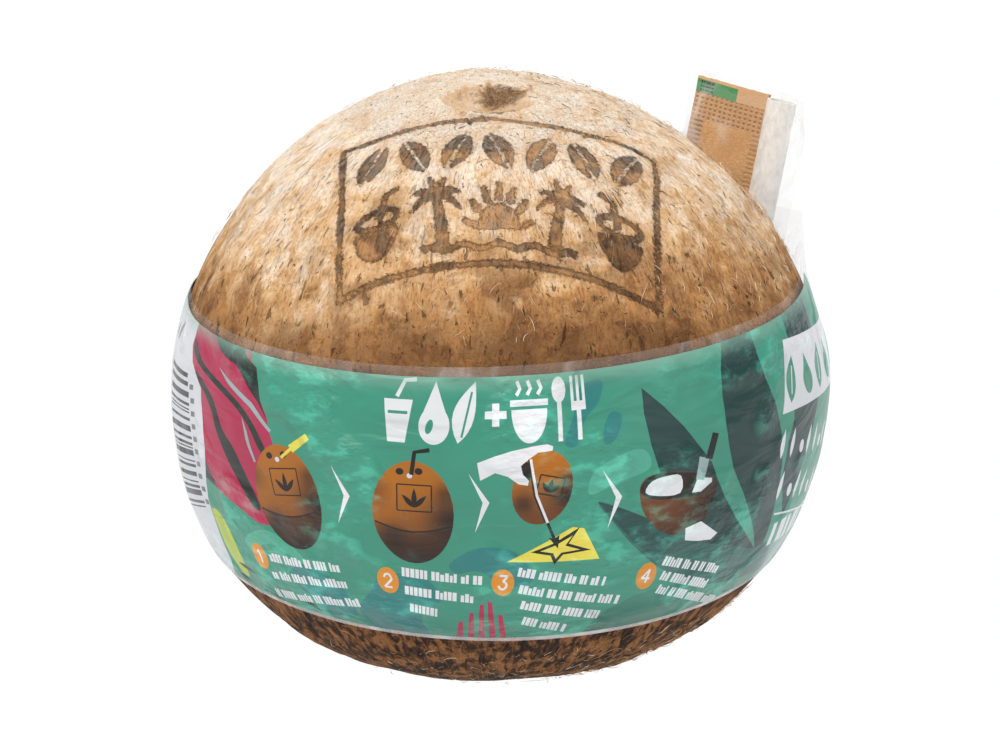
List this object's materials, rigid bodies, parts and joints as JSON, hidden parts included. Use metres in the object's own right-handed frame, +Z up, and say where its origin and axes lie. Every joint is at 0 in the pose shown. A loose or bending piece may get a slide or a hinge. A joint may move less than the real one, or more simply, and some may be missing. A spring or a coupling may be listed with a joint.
{
  "type": "husked coconut with sleeve",
  "caption": "Husked coconut standing on its flat spot, with a printed film sleeve round its middle and a paper-packed opening kit tucked behind.",
  "frame": {"origin": "centre of the flat spot under the coconut, which it rests on", "axes": "+Z up through the coconut's eyes, -Y towards the front of the printed sleeve, +X to the right when looking at the front"},
  "size_m": [0.1132, 0.1181, 0.1018],
  "materials": {
    "husked_shell": "rough, fibrous",
    "printed_film": "glossy printed film",
    "clear_film": "clear glossy film",
    "kraft_paper": "matt brown paper, embossed at its seams",
    "bare_wood": "plain unfinished wood",
    "white_paper": "matt white paper"
  },
  "bodies": {
    "root": {"coconut": "husked_shell", "printed_sleeve": "printed_film", "kit_wrapper": "clear_film", "kraft_packet": "kraft_paper", "piercing_stick": "bare_wood", "drinking_straw": "white_paper"}
  },
  "joints": []
}
